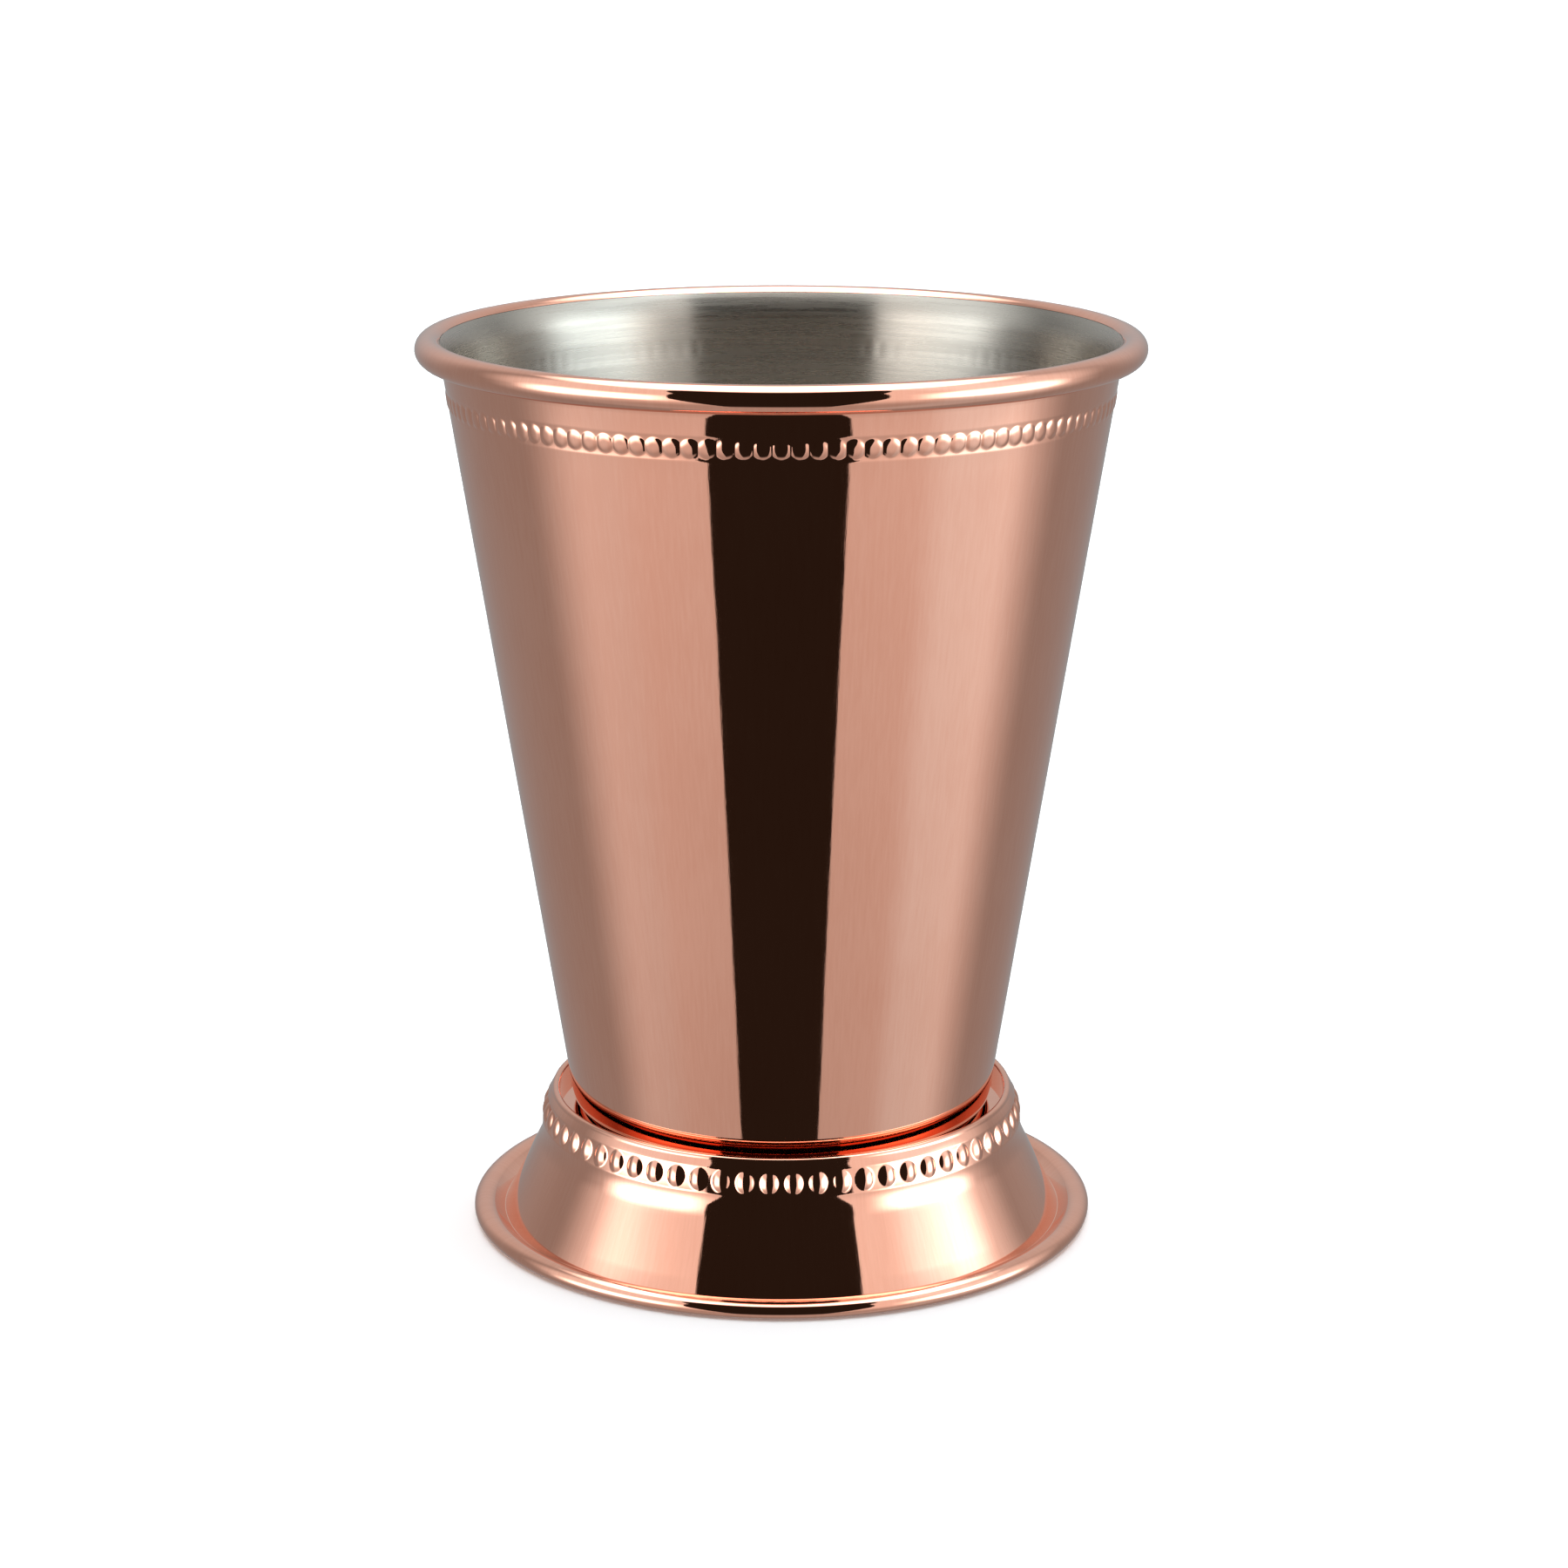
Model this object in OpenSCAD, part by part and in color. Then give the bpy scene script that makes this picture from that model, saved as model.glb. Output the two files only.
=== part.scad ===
// Footed julep cup: a copper shell with a rolled rim, a brushed steel liner
// nested in it, a spun copper foot and the solder ring that joins foot and cup.
// Millimetres, +Z up. The origin is on the table, on the axis of the cup.

/* [Cup body] */
// Overall height from the table to the top of the rim
cup_h = 110; // [90:1:130]
// Outer diameter of the tapered wall right under the rolled rim
wall_top_d = 80.6; // [72:0.2:92]
// Outer diameter of the tapered wall at the level of its bottom
wall_base_d = 51.4; // [48:0.2:54]
// Radius of the bend between the wall and the flat bottom
corner_r = 1.8; // [1.5:0.1:4]
// Thickness of the copper sheet
shell_t = 0.6; // [0.4:0.05:0.8]
// Thickness of the steel sheet
liner_t = 0.5; // [0.3:0.05:0.6]
// Clearance between the nested copper and steel walls
nest_gap = 0.05; // [0.03:0.01:0.1]

/* [Rolled rim] */
// Diameter of the roll
rim_d = 3.3; // [2.6:0.1:4]
// How far the roll stands out from the wall below it
rim_overhang = 3.05; // [2.6:0.05:3.6]
// Lean of the flared wall where it meets the roll, from upright, in degrees
flare_lean = 36; // [28:1:42]

/* [Bead band under the rim] */
// Height of the middle of the bead row below the top of the rim
band_drop = 7.55; // [6.5:0.05:20]
// Distance from bead to bead along the row
band_pitch = 2.04; // [1.6:0.02:3]
// Height of the pressed channel that holds the beads
band_h = 3; // [2.4:0.1:3.4]
// Depth of the channel
band_depth = 0.25; // [0.1:0.05:0.35]
// How far the beads stand out past the wall
band_proud = 0.12; // [0.05:0.01:0.3]
// Depth of the dimple that each bead leaves on the inside of the steel
dimple_depth = 0.12; // [0.05:0.01:0.2]

/* [Foot] */
// Height from the table to the top of the foot's lip
foot_h = 16.4; // [14:0.1:22]
// Thickness of the foot's sheet
foot_t = 0.65; // [0.5:0.05:0.75]
// Height of the lip above the seat that carries the cup
lip_h = 2; // [1.5:0.1:2.4]
// Clearance between the lip and the cup's wall at the seat
lip_gap = 1.9; // [1.4:0.1:2.4]
// Thickness of the lip, which is round on top
lip_t = 0.9; // [0.6:0.05:1.2]
// How far the neck stands out past the lip
neck_out = 1.25; // [1:0.05:2]
// Height from the neck, the upright place of the foot's side, to the lip's top
neck_drop = 4.5; // [4:0.1:5.5]
// Radius of the bend between the neck and the straight side of the skirt
neck_bend_r = 6; // [3:0.1:9]
// Lean of the skirt's straight side, from upright, in degrees
skirt_lean = 26; // [18:1:32]
// Height of the skirt's lower edge above the table
skirt_z = 2.4; // [2:0.1:3.2]
// Width of the groove between the skirt and the rolled hem
groove_w = 1.8; // [1.4:0.1:2.6]
// Width of the groove's narrow floor
groove_floor_w = 0.1; // [0.05:0.05:0.4]
// Width of the rolled hem
hem_w = 2.9; // [2.4:0.1:3.4]
// Height of the rolled hem, before its flat is taken off
hem_h = 2.25; // [1.8:0.05:2.7]
// Depth of the flat that the hem stands on, taken off the round of the roll
stand_flat = 0.05; // [0.03:0.01:0.1]
// Height of the groove's floor above the table
groove_z = 0.8; // [0.8:0.05:1.2]
// Diameter of the hole in the seat
seat_hole_d = 39; // [30:0.5:46]
// Width of the solder fillet on the cup's bottom
solder_w = 1.2; // [0.6:0.1:2]

/* [Bead row on the foot] */
// Height of the middle of the bead row above the neck
row_rise = 1.77; // [1.5:0.01:2.4]
// Distance from bead to bead along the row
row_pitch = 2.88; // [2.2:0.02:3.6]
// Height of the pressed channel that holds the beads
row_h = 3; // [2.4:0.1:3.2]
// Depth of the channel
row_depth = 0.3; // [0.1:0.05:0.4]
// How far the beads stand out past the shoulder
row_proud = 0.15; // [0.05:0.01:0.3]

/* [Hidden] */
copper = "#d99a7c";
steel = "#c9c4ba";
tin = "#b9bbbd";
// Facets of the turned surfaces and of a bead, and steps along an arc
turn_facets = 180;
bead_facets = 32;
arc_steps = 12;
// Overrun of the cuts past the faces that they open
over = 1;

// Tapered wall, from the seat in the foot up to the underside of the roll
seat_z = foot_h - lip_h;
taper = (wall_top_d - wall_base_d) / 2 / (cup_h - rim_d - seat_z);
lean = atan(taper);

// Radius of the wall at a height, at a depth measured square to its outer face
function wall_r(z, depth) =
    wall_base_d / 2 + (z - seat_z) * taper - depth / cos(lean);

// Points on an ellipse or circle from one angle to another
function arc(centre, a, b, from, to) = [
    for (i = [0 : arc_steps])
        let (t = from + (to - from) * i / arc_steps)
        [centre[0] + a * cos(t), centre[1] + b * sin(t)]
];

function back(points) = [for (i = [len(points) - 1 : -1 : 0]) points[i]];

// Bend from the floor up into the wall, for the face at a depth
function bend(depth, radius, floor_z) =
    arc([wall_r(floor_z + radius, depth + radius), floor_z + radius],
        radius, radius, -90, -lean);

// The roll is round. The steel meets it on its inner upper side, where both
// have the same lean.
roll_r = rim_d / 2;
roll_centre = [wall_top_d / 2 + rim_overhang - roll_r, cup_h - roll_r];
edge = [roll_centre[0] - roll_r * cos(flare_lean),
        roll_centre[1] + roll_r * sin(flare_lean)];

// The flare, arcs round one centre that run out of the wall and into the roll
inner_depth = shell_t + nest_gap + liner_t;
flare_r = (edge[0] - wall_r(edge[1], inner_depth))
    / (cos(lean) - cos(flare_lean) - taper * (sin(flare_lean) - sin(lean)));
flare_centre = [edge[0] + flare_r * cos(flare_lean),
                edge[1] - flare_r * sin(flare_lean)];
function flare(depth, to) =
    let (radius = flare_r - inner_depth + depth)
    arc(flare_centre, radius, radius, 180 - lean, 180 - to);
// The steel's edge stops one clearance short of the copper
liner_lean = flare_lean - asin(nest_gap / flare_r);
floor_r = corner_r - shell_t;

// Foot: seat, lip, shoulder arc, neck bend, skirt, groove and hem, each
// outwards of the one before, starting from the cup's wall
hole_r = seat_hole_d / 2;
lip_in_r = wall_base_d / 2 + lip_gap;
lip_out_r = lip_in_r + lip_t;
lip_side_z = foot_h - lip_t / 2;
neck_r = lip_out_r + neck_out;
neck_z = foot_h - neck_drop;
neck_bend_centre = [neck_r + neck_bend_r, neck_z];
skirt_top = neck_bend_centre - neck_bend_r * [cos(skirt_lean), sin(skirt_lean)];
skirt_r = skirt_top[0] + (skirt_top[1] - skirt_z) * tan(skirt_lean);
groove_r = skirt_r + groove_w / 2;
hem_r = skirt_r + groove_w + hem_w / 2;
hem_z = hem_h / 2 - stand_flat;
// The shoulder is the arc that leaves the neck upright and ends at the lip
shoulder_rise = lip_side_z - neck_z;
shoulder_arc_r = (pow(neck_out, 2) + pow(shoulder_rise, 2)) / 2 / neck_out;
shoulder_centre = [neck_r - shoulder_arc_r, neck_z];
shoulder_angle = asin(shoulder_rise / shoulder_arc_r);
// Where the hem's round leaves the groove, and where its flat begins
hem_start_angle = 150;
stand_angle = asin(hem_z / (hem_h / 2));
// Underside of the foot, one sheet below its outside
seat_under_z = seat_z - foot_t;
groove_under_z = groove_z - foot_t;
under_shoulder_r = shoulder_arc_r - foot_t;
under_shoulder_angle = asin((seat_under_z - neck_z) / under_shoulder_r);
under_bend_r = neck_bend_r + foot_t;
under_skirt = [skirt_r, skirt_z] - foot_t * [cos(skirt_lean), sin(skirt_lean)];
hem_under_angle = asin((hem_z - groove_under_z) / (hem_h / 2));

// Bead rows: each bead is a ball whose cap shows above its channel. A ball
// fills a share of the pitch, and its root reaches a share of the sheet that
// the channel leaves.
ball_share = 0.95;
root_share = 0.6;
// Height of the collar that a bead stands on
collar_h = 0.05;
band_z = cup_h - band_drop;
band_count = round(2 * PI * wall_r(band_z, 0) / band_pitch);
band_ball_r = ball_share * band_pitch / 2;
row_angle = asin(row_rise / shoulder_arc_r);
row_count = round(2 * PI * (shoulder_centre[0] + shoulder_arc_r * cos(row_angle))
                  / row_pitch);
row_ball_r = ball_share * row_pitch / 2;
row_half_angle = row_h / 2 / shoulder_arc_r * 180 / PI;
// Share of a channel's height that each of its sloped sides takes
side_share = 0.12;

module turned(points) {
    rotate_extrude($fn = turn_facets) polygon(points);
}

// A ring of ball caps on a turned face. The face's outward normal leans up by
// tilt. Each ball's centre is buried that deep in the face, at a radius and a
// height. Its cap shows above the bed, a face at the named depth, stands there
// on a short round collar, and ends flat at its root, deeper in the sheet.
module caps(count, centre_r, z, tilt, ball_r, buried, bed, root) {
    collar_r = sqrt(pow(ball_r, 2) - pow(buried - bed + collar_h, 2));
    for (i = [0 : count - 1])
        rotate(360 / count * (i + 1 / 2))
            translate([centre_r, 0, z])
                rotate([0, 90 - tilt, 0])
                    intersection() {
                        sphere(r = ball_r, $fn = bead_facets);
                        translate([0, 0, buried - root])
                            cylinder(r = collar_r, h = 2 * ball_r, $fn = bead_facets);
                    }
}

// A ring in the tapered wall between two depths, narrower at the second one
module wall_ring(depth, to_depth, side) {
    low = band_z - band_h / 2;
    high = band_z + band_h / 2;
    turned([
        [wall_r(low, depth), low],
        [wall_r(high, depth), high],
        [wall_r(high - side, to_depth), high - side],
        [wall_r(low + side, to_depth), low + side],
    ]);
}

// A ring in the foot's round shoulder, straight across, whose middle lies
// between two depths
module shoulder_ring(depth, to_depth) {
    function corner(depth, side) =
        let (radius = (shoulder_arc_r - depth) / cos(row_half_angle))
        arc(shoulder_centre, radius, radius, row_angle + side * row_half_angle, 0)[0];
    turned([
        corner(depth, -1),
        corner(depth, 1),
        corner(to_depth, 1),
        corner(to_depth, -1),
    ]);
}

// All that lies inside the outer face of the copper, up into the roll
module cup_body() {
    turned(concat(
        [[0, seat_z]],
        bend(0, corner_r, seat_z),
        flare(0, flare_lean),
        [roll_centre, [0, roll_centre[1]]]
    ));
}

module roll() {
    turned(arc(roll_centre, roll_r, roll_r, 0, 360 - 360 / arc_steps));
}

// The room inside the copper, which the steel lines, open at the mouth
module liner_room() {
    turned(concat(
        [[0, seat_z + shell_t]],
        bend(shell_t, floor_r, seat_z + shell_t),
        flare(shell_t, flare_lean),
        [edge, [edge[0], cup_h + over], [0, cup_h + over]]
    ));
}

module copper_shell() {
    buried = band_ball_r - band_proud;
    color(copper) {
        difference() {
            union() {
                cup_body();
                roll();
            }
            liner_room();
            wall_ring(-over, band_depth, side_share * band_h);
        }
        caps(band_count, wall_r(band_z, buried), band_z, -lean, band_ball_r,
             buried, band_depth, band_depth + root_share * (shell_t - band_depth));
    }
}

module steel_liner() {
    floor_z = seat_z + shell_t;
    dimple_r = band_ball_r - liner_t / 2;
    buried = inner_depth - dimple_depth + dimple_r;
    color(steel)
        difference() {
            turned(concat(
                [[0, floor_z]],
                bend(shell_t + nest_gap, floor_r, floor_z),
                flare(shell_t + nest_gap, liner_lean),
                back(flare(inner_depth, liner_lean)),
                back(bend(inner_depth, floor_r - liner_t, floor_z + liner_t)),
                [[0, floor_z + liner_t]]
            ));
            caps(band_count, wall_r(band_z, buried), band_z, -lean, dimple_r,
                 buried, inner_depth + dimple_depth, inner_depth + dimple_depth);
        }
}

module foot_sheet() {
    turned(concat(
        [[hole_r, seat_z], [lip_in_r, seat_z]],
        arc([lip_in_r + lip_t / 2, lip_side_z], lip_t / 2, lip_t / 2, 180, 0),
        arc(shoulder_centre, shoulder_arc_r, shoulder_arc_r, shoulder_angle, 0),
        arc(neck_bend_centre, neck_bend_r, neck_bend_r, 180, 180 + skirt_lean),
        [
            [skirt_r, skirt_z],
            [groove_r - groove_floor_w / 2, groove_z],
            [groove_r + groove_floor_w / 2, groove_z],
        ],
        arc([hem_r, hem_z], hem_w / 2, hem_h / 2, hem_start_angle, -stand_angle),
        arc([hem_r, hem_z], hem_w / 2, hem_h / 2,
            stand_angle - 180, hem_under_angle - 180),
        [[skirt_r, groove_under_z], under_skirt],
        arc(neck_bend_centre, under_bend_r, under_bend_r, 180 + skirt_lean, 180),
        arc(shoulder_centre, under_shoulder_r, under_shoulder_r,
            0, under_shoulder_angle),
        [[hole_r, seat_under_z]]
    ));
}

module foot() {
    buried = row_ball_r - row_proud;
    centre_r = shoulder_arc_r - buried;
    color(copper) {
        difference() {
            foot_sheet();
            shoulder_ring(-over, row_depth);
        }
        caps(row_count, shoulder_centre[0] + centre_r * cos(row_angle),
             neck_z + centre_r * sin(row_angle), row_angle, row_ball_r,
             buried, row_depth, row_depth + root_share * (foot_t - row_depth));
    }
}

// The hollow fillet in the corner between the cup's bottom and the seat's edge
module solder_ring() {
    color(tin)
        turned(concat(
            [[hole_r, seat_z]],
            arc([hole_r - solder_w, seat_under_z], solder_w, foot_t, 90, 0)
        ));
}

copper_shell();
steel_liner();
foot();
solder_ring();
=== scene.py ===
import math

import bpy
import numpy as np
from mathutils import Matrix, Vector


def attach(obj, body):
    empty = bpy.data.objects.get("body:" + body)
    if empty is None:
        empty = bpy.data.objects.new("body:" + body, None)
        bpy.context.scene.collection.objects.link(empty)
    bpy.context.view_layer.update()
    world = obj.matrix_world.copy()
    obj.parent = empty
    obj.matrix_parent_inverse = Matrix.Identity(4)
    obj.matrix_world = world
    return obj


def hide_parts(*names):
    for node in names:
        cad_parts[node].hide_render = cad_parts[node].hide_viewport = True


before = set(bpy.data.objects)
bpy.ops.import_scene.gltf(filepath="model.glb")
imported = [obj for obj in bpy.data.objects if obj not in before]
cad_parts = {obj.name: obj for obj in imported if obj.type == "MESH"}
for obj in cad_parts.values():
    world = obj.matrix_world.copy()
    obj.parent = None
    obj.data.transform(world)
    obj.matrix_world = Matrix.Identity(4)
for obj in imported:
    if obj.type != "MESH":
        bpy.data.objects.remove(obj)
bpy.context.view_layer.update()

# Metres in a millimetre: the shape below is written in millimetres, like the part
MM = 0.001

# Sizes of the cup, each the same as in the part
CUP_H = 110.0
WALL_TOP_D = 80.6
WALL_BASE_D = 51.4
CORNER_R = 1.8
SHELL_T = 0.6
LINER_T = 0.5
NEST_GAP = 0.05
RIM_D = 3.3
RIM_OVERHANG = 3.05
FLARE_LEAN = math.radians(36)
BAND_DROP = 7.55
FOOT_H = 16.4
FOOT_T = 0.65
LIP_H = 2.0
LIP_GAP = 1.9
LIP_T = 0.9
NECK_OUT = 1.25
NECK_DROP = 4.5
NECK_BEND_R = 6.0
SKIRT_LEAN = math.radians(26)
SKIRT_Z = 2.4
GROOVE_W = 1.8
GROOVE_FLOOR_W = 0.1
GROOVE_Z = 0.8
HEM_W = 2.9
HEM_H = 2.25
HEM_START = math.radians(150)
STAND_FLAT = 0.05
SEAT_HOLE_D = 39.0
ROW_RISE = 1.77

# The band under the rim, its dimples inside the steel, and the row on the foot: how
# many beads, how far one would spread along and across the row, how flat its top is,
# its height above the channel, and the channel's half height and depth
BAND = dict(count=122, along=1.12, across=1.2, flatness=3.4, height=0.18, half_h=1.45, depth=0.07)
DIMPLES = dict(count=122, along=1.1, across=1.1, flatness=2, height=0.02, half_h=1.3, depth=0.0)
ROW = dict(count=64, along=1.142, across=2.02, flatness=2, height=0.45, half_h=1.5, depth=0.3)
# Width over which beads and channel blend where they meet, and the share of the
# channel's half height at which the relief starts to fade out
BLEND_W = 0.015
FADE_SHARE = 0.9

# Columns of faces round the cup, a whole number to each bead: many in a bead row, few elsewhere
BAND_FINE, BAND_COARSE = 16 * BAND["count"], 2 * BAND["count"]
ROW_FINE, ROW_COARSE = 24 * ROW["count"], 4 * ROW["count"]
# Height of a row of faces in a bead row, on plain surfaces and on the skirt
FINE_STEP = 0.13
PLAIN_STEP = 1.8
SKIRT_STEP = 0.6
# Rows of faces along the round stretches
ARC_STEPS = 14
BEND_STEPS = 8
ROLL_STEPS = 40
HEM_STEPS = 34
LIP_STEPS = 16
UNDER_STEPS = 10
BELOW_ROW_STEPS, ABOVE_ROW_STEPS = 2, 6
# Edges that turn by more than this look sharp
SHARP_ANGLE = math.radians(38)

# Camera, fitted to the outlines of the rim, wall, lip and hem in the photo
CAMERA_BACK = 452.43
CAMERA_Z = 173.716
CAMERA_PITCH = 0.2577
CAMERA_YAW = -0.0007
FOCAL_PX = 4398.4
PHOTO_PX = 1800
SENSOR_MM = 36.0
# Where the camera's view begins and ends, and half the floor's width, in metres
CAMERA_CLIP = 0.01, 50
FLOOR_HALF = 6.0

# Finishes: the two tones that each colour runs between, and the span of its roughness
COPPER_TONES = (0.90, 0.440, 0.312), (0.94, 0.480, 0.348)
COPPER_ROUGHNESS = 0.02, 0.05
STEEL_TONES = (0.41, 0.370, 0.320), (0.53, 0.485, 0.430)
STEEL_ROUGHNESS = 0.24, 0.31
SOLDER_TONES = (0.42, 0.43, 0.44), (0.62, 0.63, 0.64)
SOLDER_ROUGHNESS = 0.35, 0.55
FLOOR_COLOUR = 0.92, 0.92, 0.92
# The brush spreads highlights on the steel across its lines
STEEL_SPREAD = {"Anisotropic": 0.9, "Anisotropic Rotation": 0.25}
# Noises in the finishes, how fast streaks and brush lines change with height, and their
# share in the tone, where the rest is cloud
COPPER_STREAKS = dict(scale=90.0, detail=3.0, roughness=0.6)
COPPER_CLOUD = dict(scale=45.0, detail=3.0, roughness=0.55)
STEEL_BRUSHING = dict(scale=2.2, detail=4.0, roughness=0.7)
STEEL_CLOUD = dict(scale=60.0, detail=3.0, roughness=0.5)
SOLDER_CLOUD = dict(scale=400.0, detail=4.0, roughness=0.6)
STREAK_RATE, STREAK_SHARE = 2.5, 0.5
BRUSH_RATE, BRUSH_SHARE = 900.0, 0.7
# Spans of the noises over which the copper's colour and every roughness change
TONE_SPAN = 0.35, 0.65
GLOSS_SPAN = 0.3, 0.7
# Their relief, with its height in metres
COPPER_BUMP = dict(strength=0.008, distance=0.0002)
STEEL_BUMP = dict(strength=0.03, distance=0.0001)
SOLDER_BUMP = dict(strength=0.4, distance=0.0002)

# The studio's light by direction, in degrees: azimuth 0 is towards the photograph's
# camera and positive to its right, elevation 0 is level. An edge, a rise or a fall is a
# span of such an angle, and a slope is a change in width with elevation.

# Levels of what fades out over its span
FALLING = 1.0, 0.0
# Dark gap between the side lamps, with the camera in it, and its trace of warm light
GAP_AZIMUTH = -1.0
GAP_HALF = 33.0
GAP_EDGE = -0.5, 0.5
GAP_SLOPE_BELOW, GAP_SLOPE_ABOVE = 0.28, 0.1
GAP_TOP_RISE, GAP_TOP_EXTRA = (36.0, 60.0), 11.0
GAP_BOTTOM_FALL = -56.0, -42.0
GAP_RED, GAP_GREEN, GAP_BLUE = 0.021, 0.0163, 0.0121
# Light all round, and the broad panels at both sides
AMBIENT = 0.30
PANEL_AZIMUTH = 7.0
PANEL_EDGE, PANEL_SLOPE = (80.0, 112.0), 0.5
PANEL_RISE, PANEL_LEVELS = (-48.0, -5.0), (0.13, 0.68)
# Backdrop behind the cup
BACKDROP_EDGE = 110.0, 150.0
BACKDROP_RISE, BACKDROP_LEVEL = (-14.0, 28.0), 0.28
# Bright cores of the two side lamps
CORE_AZIMUTH, CORE_ASIDE = 5.0, 65.0
CORE_EDGE, CORE_LEVEL = (10.0, 32.0), 3.4
CORE_RISE, CORE_FALL = (-24.0, -3.0), (4.0, 28.0)
# Lamp overhead, a little behind the cup
LAMP_BACK = math.radians(10)
LAMP_EDGE, LAMP_LEVEL = (26.0, 38.0), 3.0
# Cooler light far out at the sides, and cooler and stronger still on the right
COOL_EDGE, COOL_LEVEL = (48.0, 66.0), 0.07
COOL_BLUE = 1.5
RIGHT_FALL, RIGHT_COOL, RIGHT_EXTRA = (84.0, 104.0), 0.07, 0.13

# The cup's wall, roll and flare
SEAT_Z = FOOT_H - LIP_H
TAPER = (WALL_TOP_D - WALL_BASE_D) / 2 / (CUP_H - RIM_D - SEAT_Z)
LEAN = math.atan(TAPER)
BAND_Z = CUP_H - BAND_DROP
INNER_DEPTH = SHELL_T + NEST_GAP + LINER_T
ROLL_R = RIM_D / 2
ROLL = (WALL_TOP_D / 2 + RIM_OVERHANG - ROLL_R, CUP_H - ROLL_R)
EDGE = (ROLL[0] - ROLL_R * math.cos(FLARE_LEAN), ROLL[1] + ROLL_R * math.sin(FLARE_LEAN))


def wall_r(z, depth=0.0):
    """Radius of the wall at a height, at a depth measured square to its face."""
    return WALL_BASE_D / 2 + (z - SEAT_Z) * TAPER - depth / math.cos(LEAN)


FLARE_R = (EDGE[0] - wall_r(EDGE[1], INNER_DEPTH)) / (
    math.cos(LEAN) - math.cos(FLARE_LEAN) - TAPER * (math.sin(FLARE_LEAN) - math.sin(LEAN)))
FLARE = (EDGE[0] + FLARE_R * math.cos(FLARE_LEAN), EDGE[1] - FLARE_R * math.sin(FLARE_LEAN))


# Outlines: lists of (radius, height)
def arc(centre, a, b, start, end, steps=ARC_STEPS):
    """Points on an ellipse from one angle to another."""
    angles = np.linspace(start, end, steps + 1)
    return [(centre[0] + a * math.cos(t), centre[1] + b * math.sin(t)) for t in angles]


def line(a, b, step=PLAIN_STEP):
    """Points along a straight stretch, both ends among them."""
    steps = max(1, round(math.dist(a, b) / step))
    shares = [i / steps for i in range(steps + 1)]
    return [(a[0] + (b[0] - a[0]) * s, a[1] + (b[1] - a[1]) * s) for s in shares]


def wall_line(low, high, depth):
    return line((wall_r(low, depth), low), (wall_r(high, depth), high))


def bend(depth, radius, floor_z):
    """The bend from the floor up into the wall, for the face at a depth."""
    centre = (wall_r(floor_z + radius, depth + radius), floor_z + radius)
    return arc(centre, radius, radius, -math.pi / 2, -LEAN, BEND_STEPS)


def flare(depth, lean):
    """The wall's flare at a depth, out to where it leans that much."""
    radius = FLARE_R - INNER_DEPTH + depth
    return arc(FLARE, radius, radius, math.pi - LEAN, math.pi - lean)


# Rings of points round the axis, in metres
def ring(point, columns):
    r, z = point
    t = np.arange(1 if r == 0 else columns) * (2 * math.pi / columns)
    return np.stack([r * np.cos(t), r * np.sin(t), np.full(len(t), z)], 1) * MM


def rings(points, columns):
    return [ring(p, columns) for p in points]


def smooth_step(x):
    x = np.clip(x, 0, 1)
    return x * x * (3 - 2 * x)


def smooth_max(a, b):
    return (a + b + np.sqrt((a - b) ** 2 + BLEND_W ** 2)) / 2


def bead_relief(u, v, pitch, bead):
    """How far a pressed row stands out of its face, u along the row and v across it."""
    near = np.abs((u + pitch / 2) % pitch - pitch / 2)

    def dome(along):
        reach = np.hypot(along / bead["along"], v / bead["across"])
        return bead["height"] * (1 - reach ** bead["flatness"]) - bead["depth"]

    bed = -bead["depth"] * (1 - (v / bead["half_h"]) ** 2)
    fade = 1 - smooth_step((abs(v) / bead["half_h"] - FADE_SHARE) / (1 - FADE_SHARE))
    return smooth_max(smooth_max(dome(near), dome(pitch - near)), bed) * fade


def bead_rings(place, bead, columns, side=1):
    """Rings across a bead row. place(v) gives the plain face's point and outward normal at v."""
    steps = round(2 * bead["half_h"] / FINE_STEP)
    made = []
    for v in np.linspace(-bead["half_h"], bead["half_h"], steps + 1):
        (r, z), (nr, nz) = place(v)
        t = np.arange(columns) * (2 * math.pi / columns)
        pitch = 2 * math.pi * r / bead["count"]
        out = side * bead_relief(r * t - pitch / 2, v, pitch, bead)
        radius = r + out * nr
        made.append(np.stack([radius * np.cos(t), radius * np.sin(t), z + out * nz], 1) * MM)
    return made


def turned_piece(name, ring_list, closed=False):
    """A smooth mesh through rings that run up its outside.

    Of two neighbouring rings, one has a whole number of times the other's points."""
    starts = np.cumsum([0] + [len(p) for p in ring_list])
    pairs = [(i, i + 1) for i in range(len(ring_list) - 1)]
    if closed:
        pairs.append((len(ring_list) - 1, 0))
    faces = []
    for a, b in pairs:
        n, m = len(ring_list[a]), len(ring_list[b])
        low, high = int(starts[a]), int(starts[b])
        few = min(n, m) if min(n, m) > 1 else max(n, m)
        for j in range(few):
            bottom = [low + (n // few * j + i) % n for i in range(n // few + 1)] if n > 1 else [low]
            top = [high + (m // few * j + i) % m for i in range(m // few + 1)] if m > 1 else [high]
            faces.append(bottom + top[::-1])
    mesh = bpy.data.meshes.new(name)
    mesh.from_pydata(np.concatenate(ring_list).tolist(), [], faces)
    mesh.shade_smooth()
    mesh.set_sharp_from_angle(angle=SHARP_ANGLE)
    piece = bpy.data.objects.new(name, mesh)
    bpy.context.scene.collection.objects.link(piece)
    return piece


def wall_place(depth, facing):
    """Where the band lies on the wall's face at a depth, and the way that face looks."""
    def place(v):
        z = BAND_Z + v * math.cos(LEAN)
        return (wall_r(z, depth), z), (math.cos(LEAN) * facing, -math.sin(LEAN) * facing)
    return place


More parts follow.
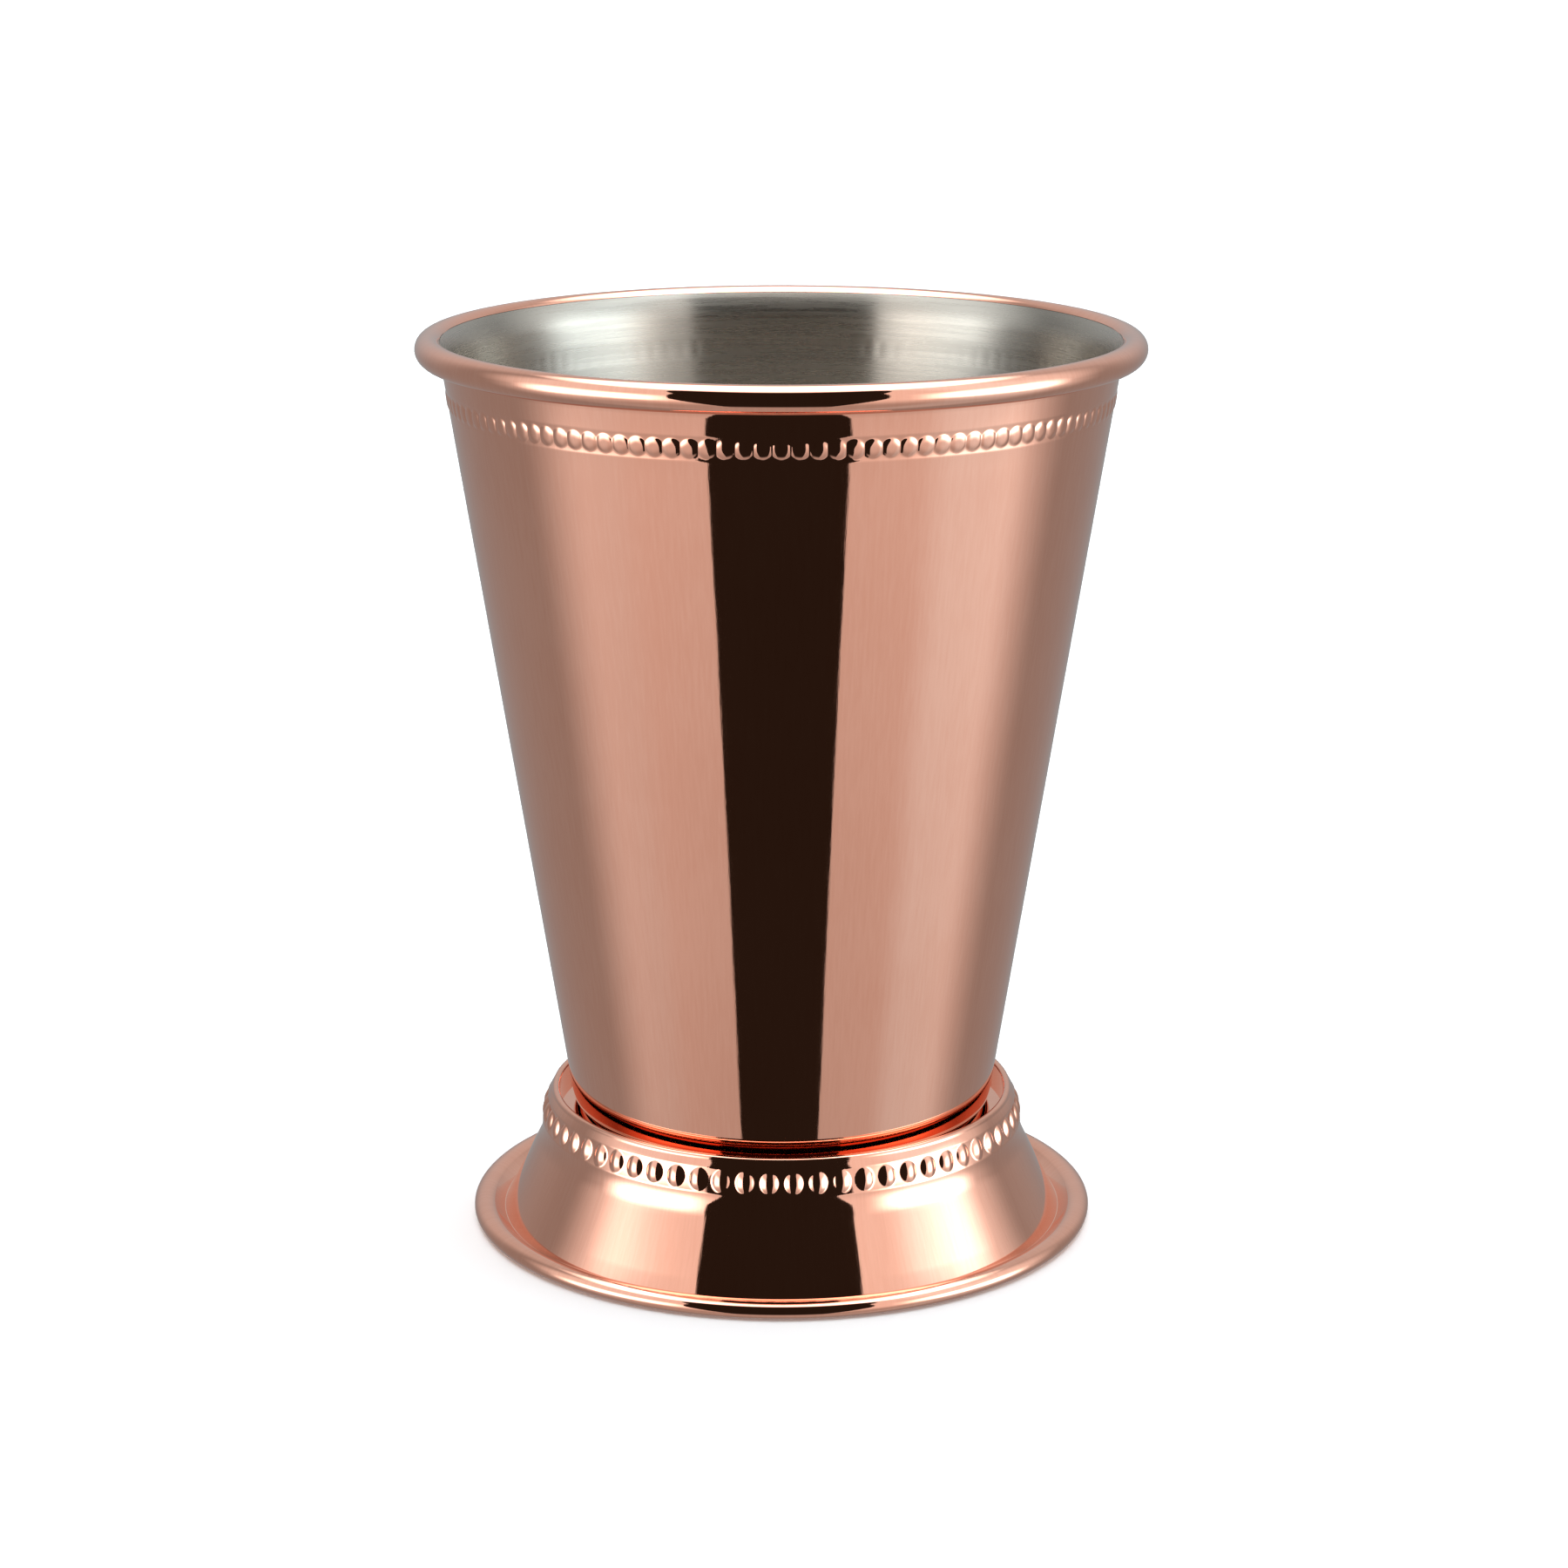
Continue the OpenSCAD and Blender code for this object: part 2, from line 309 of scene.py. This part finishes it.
def copper_shell():
    band = bead_rings(wall_place(0, 1), BAND, BAND_FINE)
    half = BAND["half_h"] * math.cos(LEAN)
    flared = [p for p in flare(0, FLARE_LEAN) if math.dist(p, ROLL) > ROLL_R]
    joint = math.atan2(flared[-1][1] - ROLL[1], flared[-1][0] - ROLL[0])
    below = bend(0, CORNER_R, SEAT_Z)
    lower = line((0, SEAT_Z), below[0]) + below[1:]
    lower += wall_line(below[-1][1], BAND_Z - half - FINE_STEP, 0)[1:]
    upper = wall_line(BAND_Z + half + FINE_STEP, flared[0][1], 0) + flared[1:]
    roll = arc(ROLL, ROLL_R, ROLL_R, joint, math.pi - FLARE_LEAN, ROLL_STEPS)
    # Inside, down from the roll to the middle of the floor
    inner_floor = SEAT_Z + SHELL_T
    inner_bend = bend(SHELL_T, CORNER_R - SHELL_T, inner_floor)
    inner_flare = flare(SHELL_T, FLARE_LEAN)
    inside = inner_flare[::-1] + wall_line(inner_flare[0][1], inner_bend[-1][1], SHELL_T)[1:-1]
    inside += inner_bend[::-1] + line(inner_bend[0], (0, inner_floor))[1:]
    outside = rings(lower, BAND_COARSE) + band + rings(upper + roll, BAND_COARSE)
    return turned_piece("copper_shell_skin", outside + rings(inside, BAND_COARSE))


def steel_liner():
    outer_depth = SHELL_T + NEST_GAP
    floor_z = SEAT_Z + SHELL_T
    inner_floor = floor_z + LINER_T
    lean = FLARE_LEAN - math.asin(NEST_GAP / FLARE_R)
    outer_bend = bend(outer_depth, CORNER_R - SHELL_T, floor_z)
    outer_flare = flare(outer_depth, lean)
    outside = line((0, floor_z), outer_bend[0]) + outer_bend[1:]
    outside += wall_line(outer_bend[-1][1], outer_flare[0][1], outer_depth)[1:] + outer_flare[1:]
    # Inside, down from the edge to the dimples, and on to the middle of the floor
    inner_flare = flare(INNER_DEPTH, lean)
    inner_bend = bend(INNER_DEPTH, CORNER_R - SHELL_T - LINER_T, inner_floor)
    half = DIMPLES["half_h"] * math.cos(LEAN) + FINE_STEP
    upper = inner_flare[::-1] + wall_line(inner_flare[0][1], BAND_Z + half, INNER_DEPTH)[1:]
    lower = wall_line(BAND_Z - half, inner_bend[-1][1], INNER_DEPTH) + inner_bend[::-1][1:]
    lower += line(inner_bend[0], (0, inner_floor))[1:]
    dimples = bead_rings(wall_place(INNER_DEPTH, -1), DIMPLES, BAND_FINE, side=-1)[::-1]
    plain = rings(outside + upper, BAND_COARSE)
    return turned_piece("steel_liner_skin", plain + dimples + rings(lower, BAND_COARSE))


def foot():
    hole_r = SEAT_HOLE_D / 2
    lip_r = WALL_BASE_D / 2 + LIP_GAP + LIP_T / 2
    lip_z = FOOT_H - LIP_T / 2
    neck_r, neck_z = lip_r + LIP_T / 2 + NECK_OUT, FOOT_H - NECK_DROP
    shoulder_rise = lip_z - neck_z
    shoulder_r = (NECK_OUT ** 2 + shoulder_rise ** 2) / 2 / NECK_OUT
    shoulder = (neck_r - shoulder_r, neck_z)
    shoulder_end = math.asin(shoulder_rise / shoulder_r)
    lean_cos, lean_sin = math.cos(SKIRT_LEAN), math.sin(SKIRT_LEAN)
    neck_bend = (neck_r + NECK_BEND_R, neck_z)
    skirt_top = (neck_bend[0] - NECK_BEND_R * lean_cos, neck_z - NECK_BEND_R * lean_sin)
    skirt_r = skirt_top[0] + (skirt_top[1] - SKIRT_Z) * math.tan(SKIRT_LEAN)
    groove_r = skirt_r + GROOVE_W / 2
    hem = (skirt_r + GROOVE_W + HEM_W / 2, HEM_H / 2 - STAND_FLAT)
    stand = math.asin(hem[1] / (HEM_H / 2))
    row_angle = math.asin(ROW_RISE / shoulder_r)
    row_half = ROW["half_h"] / shoulder_r
    fine_angle = FINE_STEP / shoulder_r

    def place(v):
        a = row_angle + v / shoulder_r
        n = (math.cos(a), math.sin(a))
        return (shoulder[0] + shoulder_r * n[0], shoulder[1] + shoulder_r * n[1]), n

    # Outside, from the flat that the hem stands on up to the edge of the seat's hole
    hem_side = arc(hem, HEM_W / 2, HEM_H / 2, -stand, HEM_START, HEM_STEPS)
    groove_in, groove_out = groove_r - GROOVE_FLOOR_W / 2, groove_r + GROOVE_FLOOR_W / 2
    groove = line((groove_out, GROOVE_Z), (groove_in, GROOVE_Z))
    skirt_side = line((skirt_r, SKIRT_Z), skirt_top, SKIRT_STEP)
    skirt_side += arc(neck_bend, NECK_BEND_R, NECK_BEND_R, math.pi + SKIRT_LEAN, math.pi)[1:]
    row_start, row_end = row_angle - row_half - fine_angle, row_angle + row_half + fine_angle
    below_row = arc(shoulder, shoulder_r, shoulder_r, 0, row_start, BELOW_ROW_STEPS)
    above_row = arc(shoulder, shoulder_r, shoulder_r, row_end, shoulder_end, ABOVE_ROW_STEPS)
    lip = arc((lip_r, lip_z), LIP_T / 2, LIP_T / 2, 0, math.pi, LIP_STEPS)
    seat = line((lip_r - LIP_T / 2, SEAT_Z), (hole_r, SEAT_Z))
    # Inside, down again under the seat, the shoulder, the skirt and the groove
    seat_under, groove_under = SEAT_Z - FOOT_T, GROOVE_Z - FOOT_T
    under_shoulder_r, under_bend_r = shoulder_r - FOOT_T, NECK_BEND_R + FOOT_T
    under_start = math.asin((seat_under - neck_z) / under_shoulder_r)
    under_shoulder = arc(shoulder, under_shoulder_r, under_shoulder_r, under_start, 0, UNDER_STEPS)
    under_bend = arc(neck_bend, under_bend_r, under_bend_r, math.pi, math.pi + SKIRT_LEAN, UNDER_STEPS)
    under_skirt = line(under_bend[-1], (skirt_r - FOOT_T * lean_cos, SKIRT_Z - FOOT_T * lean_sin))
    hem_under_start = math.asin((hem[1] - groove_under) / (HEM_H / 2)) - math.pi
    hem_under = arc(hem, HEM_W / 2, HEM_H / 2, hem_under_start, stand - math.pi, BEND_STEPS)
    low = hem_side + groove + skirt_side + below_row[1:]
    high = above_row + lip[1:] + seat
    inside = line((hole_r, seat_under), under_shoulder[0]) + under_shoulder[1:]
    inside += under_bend[1:] + under_skirt[1:]
    inside += line((skirt_r, groove_under), hem_under[0]) + hem_under[1:]
    row = bead_rings(place, ROW, ROW_FINE)
    all_rings = rings(low, ROW_COARSE) + row + rings(high + inside, ROW_COARSE)
    return turned_piece("foot_skin", all_rings, closed=True)


# Sockets of the mix node that hold colours: its two inputs and its output
MIX_FIRST, MIX_SECOND, MIX_RESULT = 6, 7, 2


class Tree:
    """Adds nodes to a material or the world. A value is a number or another node's output."""

    def __init__(self, owner):
        owner.use_nodes = True
        self.nodes = owner.node_tree.nodes
        self.links = owner.node_tree.links
        self.nodes.clear()

    def node(self, kind, inputs=(), **settings):
        node = self.nodes.new(kind)
        for key, value in settings.items():
            setattr(node, key, value)
        for key, value in dict(inputs).items():
            self.set(node.inputs[key], value)
        return node

    def set(self, socket, value):
        if isinstance(value, bpy.types.NodeSocket):
            self.links.new(value, socket)
        else:
            socket.default_value = value

    def math(self, operation, *values):
        return self.node("ShaderNodeMath", enumerate(values), operation=operation).outputs[0]

    def plus(self, a, b):
        return self.math("ADD", a, b)

    def minus(self, a, b):
        return self.math("SUBTRACT", a, b)

    def times(self, a, b):
        return self.math("MULTIPLY", a, b)

    def away(self, value, middle):
        """Distance of the value from a middle one, on either side."""
        return self.math("ABSOLUTE", self.minus(value, middle))

    def blend(self, first, second, share):
        """A share of the first value, and the rest from the second one."""
        return self.plus(self.times(first, share), self.times(second, 1 - share))

    def smooth(self, value, span, levels=(0.0, 1.0)):
        """Runs smoothly through the levels as the value goes through the span."""
        names = ("Value", "From Min", "From Max", "To Min", "To Max")
        inputs = dict(zip(names, (value, *span, *levels)))
        return self.node("ShaderNodeMapRange", inputs, interpolation_type="SMOOTHSTEP").outputs["Result"]

    def noise(self, place, scale, detail, roughness):
        inputs = {"Vector": place, "Scale": scale, "Detail": detail, "Roughness": roughness}
        return self.node("ShaderNodeTexNoise", inputs).outputs["Fac"]

    def split(self, vector):
        return self.node("ShaderNodeSeparateXYZ", {0: vector}).outputs

    def join(self, x, y, z):
        return self.node("ShaderNodeCombineXYZ", {"X": x, "Y": y, "Z": z}).outputs[0]

    def place(self):
        """Coordinates on the object, in metres."""
        return self.node("ShaderNodeTexCoord").outputs["Object"]

    def place_round_axis(self, rate):
        """Coordinates that follow the direction from the axis, and the height times a rate."""
        x, y, z = self.split(self.place())
        angle = self.math("ARCTAN2", y, x)
        return self.join(self.math("COSINE", angle), self.math("SINE", angle), self.times(z, rate))

    def between(self, factor, first, second):
        """A colour from the first one to the second one."""
        inputs = {MIX_FIRST: (*first, 1), MIX_SECOND: (*second, 1)}
        node = self.node("ShaderNodeMix", inputs, data_type="RGBA")
        self.set(node.inputs["Factor"], factor)
        return node.outputs[MIX_RESULT]

    def bump(self, height, strength, distance):
        inputs = {"Height": height, "Strength": strength, "Distance": distance}
        return self.node("ShaderNodeBump", inputs).outputs[0]

    def metal(self, colour, roughness, normal, more=()):
        """Ends the material as a metal."""
        inputs = {"Base Color": colour, "Metallic": 1.0, "Roughness": roughness, "Normal": normal}
        inputs.update(more)
        shader = self.node("ShaderNodeBsdfPrincipled", inputs)
        self.node("ShaderNodeOutputMaterial", {"Surface": shader.outputs[0]})


def polished_copper():
    """Bright copper, buffed along the cup, with faint streaks in its gloss and tone."""
    material = bpy.data.materials.new("polished_copper")
    tree = Tree(material)
    # The streaks run up the cup: fine round the axis, long along it
    streaks = tree.noise(tree.place_round_axis(STREAK_RATE), **COPPER_STREAKS)
    tone = tree.blend(streaks, tree.noise(tree.place(), **COPPER_CLOUD), STREAK_SHARE)
    colour = tree.between(tree.smooth(tone, TONE_SPAN), *COPPER_TONES)
    gloss = tree.smooth(tone, GLOSS_SPAN, COPPER_ROUGHNESS)
    tree.metal(colour, gloss, tree.bump(streaks, **COPPER_BUMP))
    return material


def brushed_steel():
    """Stainless steel, brushed round the cup."""
    material = bpy.data.materials.new("brushed_steel")
    tree = Tree(material)
    # The brush lines run round the cup: fine in height, long round the axis
    brushing = tree.noise(tree.place_round_axis(BRUSH_RATE), **STEEL_BRUSHING)
    tone = tree.blend(brushing, tree.noise(tree.place(), **STEEL_CLOUD), BRUSH_SHARE)
    colour = tree.between(tone, *STEEL_TONES)
    gloss = tree.smooth(brushing, GLOSS_SPAN, STEEL_ROUGHNESS)
    tangent = tree.node("ShaderNodeTangent", direction_type="RADIAL", axis="Z").outputs[0]
    tree.metal(colour, gloss, tree.bump(brushing, **STEEL_BUMP), {"Tangent": tangent, **STEEL_SPREAD})
    return material


def dull_solder():
    """Tin solder as it froze, mottled and half dull."""
    material = bpy.data.materials.new("dull_solder")
    tree = Tree(material)
    cloud = tree.noise(tree.place(), **SOLDER_CLOUD)
    gloss = tree.smooth(cloud, GLOSS_SPAN, SOLDER_ROUGHNESS)
    tree.metal(tree.between(cloud, *SOLDER_TONES), gloss, tree.bump(cloud, **SOLDER_BUMP))
    return material


def pale_floor():
    material = bpy.data.materials.new("pale_floor")
    tree = Tree(material)
    shader = tree.node("ShaderNodeBsdfDiffuse", {"Color": (*FLOOR_COLOUR, 1)})
    tree.node("ShaderNodeOutputMaterial", {"Surface": shader.outputs[0]})
    return material


# Parts of the studio's light. Aside is how far a direction's azimuth is from the gap's.
def outside_gap(tree, aside, elevation):
    """0 in the gap and 1 outside it. The gap widens upwards and ends above the floor."""
    below = tree.times(tree.math("MINIMUM", elevation, 0.0), GAP_SLOPE_BELOW)
    above = tree.times(tree.math("MAXIMUM", elevation, 0.0), GAP_SLOPE_ABOVE)
    half = tree.plus(GAP_HALF, tree.plus(below, above))
    half = tree.plus(half, tree.smooth(elevation, GAP_TOP_RISE, (0.0, GAP_TOP_EXTRA)))
    past_edge = tree.smooth(tree.minus(aside, half), GAP_EDGE)
    return tree.math("MAXIMUM", past_edge, tree.smooth(elevation, GAP_BOTTOM_FALL, FALLING))


def side_panels(tree, azimuth, elevation):
    """Wider higher up, and brighter above the level of the table."""
    spread = tree.times(tree.math("MAXIMUM", elevation, 0.0), PANEL_SLOPE)
    off = tree.minus(tree.away(azimuth, PANEL_AZIMUTH), spread)
    rise = tree.smooth(elevation, PANEL_RISE, PANEL_LEVELS)
    return tree.times(tree.smooth(off, PANEL_EDGE, FALLING), rise)


def backdrop(tree, aside, elevation):
    rise = tree.smooth(elevation, BACKDROP_RISE, (0.0, BACKDROP_LEVEL))
    return tree.times(tree.smooth(aside, BACKDROP_EDGE), rise)


def lamp_cores(tree, azimuth, elevation):
    off = tree.away(tree.away(azimuth, CORE_AZIMUTH), CORE_ASIDE)
    height = tree.times(tree.smooth(elevation, CORE_RISE), tree.smooth(elevation, CORE_FALL, FALLING))
    return tree.times(tree.smooth(off, CORE_EDGE, (CORE_LEVEL, 0.0)), height)


def overhead_lamp(tree, y, z):
    towards = tree.plus(tree.times(y, math.sin(LAMP_BACK)), tree.times(z, math.cos(LAMP_BACK)))
    off = tree.math("DEGREES", tree.math("ARCCOSINE", towards))
    return tree.smooth(off, LAMP_EDGE, (LAMP_LEVEL, 0.0))


def studio():
    """The light of a plain studio, and the white that the camera itself sees round the cup."""
    world = bpy.data.worlds.new("studio")
    bpy.context.scene.world = world
    tree = Tree(world)
    x, y, z = tree.split(tree.node("ShaderNodeTexCoord").outputs["Generated"])
    azimuth = tree.math("DEGREES", tree.math("ARCTAN2", x, tree.times(y, -1.0)))
    elevation = tree.math("DEGREES", tree.math("ARCSINE", z))
    aside = tree.away(azimuth, GAP_AZIMUTH)
    sides = tree.plus(AMBIENT, side_panels(tree, azimuth, elevation))
    behind = tree.plus(backdrop(tree, aside, elevation), lamp_cores(tree, azimuth, elevation))
    right = tree.times(tree.smooth(azimuth, COOL_EDGE), tree.smooth(azimuth, RIGHT_FALL, FALLING))
    cool = tree.plus(tree.smooth(aside, COOL_EDGE, (0.0, COOL_LEVEL)), tree.times(right, RIGHT_COOL))
    stronger = tree.plus(1.0, tree.times(right, RIGHT_EXTRA))
    around = tree.times(tree.plus(sides, behind), stronger)
    light = tree.plus(tree.times(outside_gap(tree, aside, elevation), around), overhead_lamp(tree, y, z))
    red = tree.plus(light, GAP_RED)
    green = tree.plus(tree.times(light, tree.plus(cool, 1.0)), GAP_GREEN)
    blue = tree.plus(tree.times(light, tree.plus(tree.times(cool, COOL_BLUE), 1.0)), GAP_BLUE)
    colour = tree.node("ShaderNodeCombineColor", {"Red": red, "Green": green, "Blue": blue}).outputs[0]
    lit = tree.node("ShaderNodeBackground", {"Color": colour}).outputs[0]
    seen = tree.node("ShaderNodeBackground", {"Color": (1, 1, 1, 1)}).outputs[0]
    from_camera = tree.node("ShaderNodeLightPath").outputs["Is Camera Ray"]
    mix = tree.node("ShaderNodeMixShader", {0: from_camera, 1: lit, 2: seen})
    tree.node("ShaderNodeOutputWorld", {"Surface": mix.outputs[0]})


def floor():
    """A wide plain floor. Mirrors look through it to the studio's own light."""
    low, high = -FLOOR_HALF, FLOOR_HALF
    corners = [(low, low, 0), (high, low, 0), (high, high, 0), (low, high, 0)]
    mesh = bpy.data.meshes.new("floor")
    mesh.from_pydata(corners, [], [(0, 1, 2, 3)])
    mesh.materials.append(pale_floor())
    plane = bpy.data.objects.new("floor", mesh)
    bpy.context.scene.collection.objects.link(plane)
    plane.visible_glossy = False


def camera():
    data = bpy.data.cameras.new("camera")
    data.sensor_width = SENSOR_MM
    data.lens = FOCAL_PX / PHOTO_PX * SENSOR_MM
    data.clip_start, data.clip_end = CAMERA_CLIP
    view = bpy.data.objects.new("camera", data)
    view.location = Vector((0, -CAMERA_BACK, CAMERA_Z)) * MM
    view.rotation_euler = (math.pi / 2 - CAMERA_PITCH, 0, CAMERA_YAW)
    bpy.context.scene.collection.objects.link(view)
    bpy.context.scene.camera = view


def dress():
    """The three turned pieces in place of their CAD solids, and the solder as it is."""
    copper, steel = polished_copper(), brushed_steel()
    for piece, node, slot, material in (
            (copper_shell(), "copper_shell", "copper", copper),
            (steel_liner(), "steel_liner", "steel", steel),
            (foot(), "foot", "copper", copper)):
        piece.data.materials.append(material)
        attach(piece, "root")
        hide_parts(node)
    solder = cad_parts["solder_ring"]
    solder.data.materials.clear()
    solder.data.materials.append(dull_solder())


camera()
studio()
floor()
dress()
bpy.context.scene.view_settings.view_transform = "Standard"
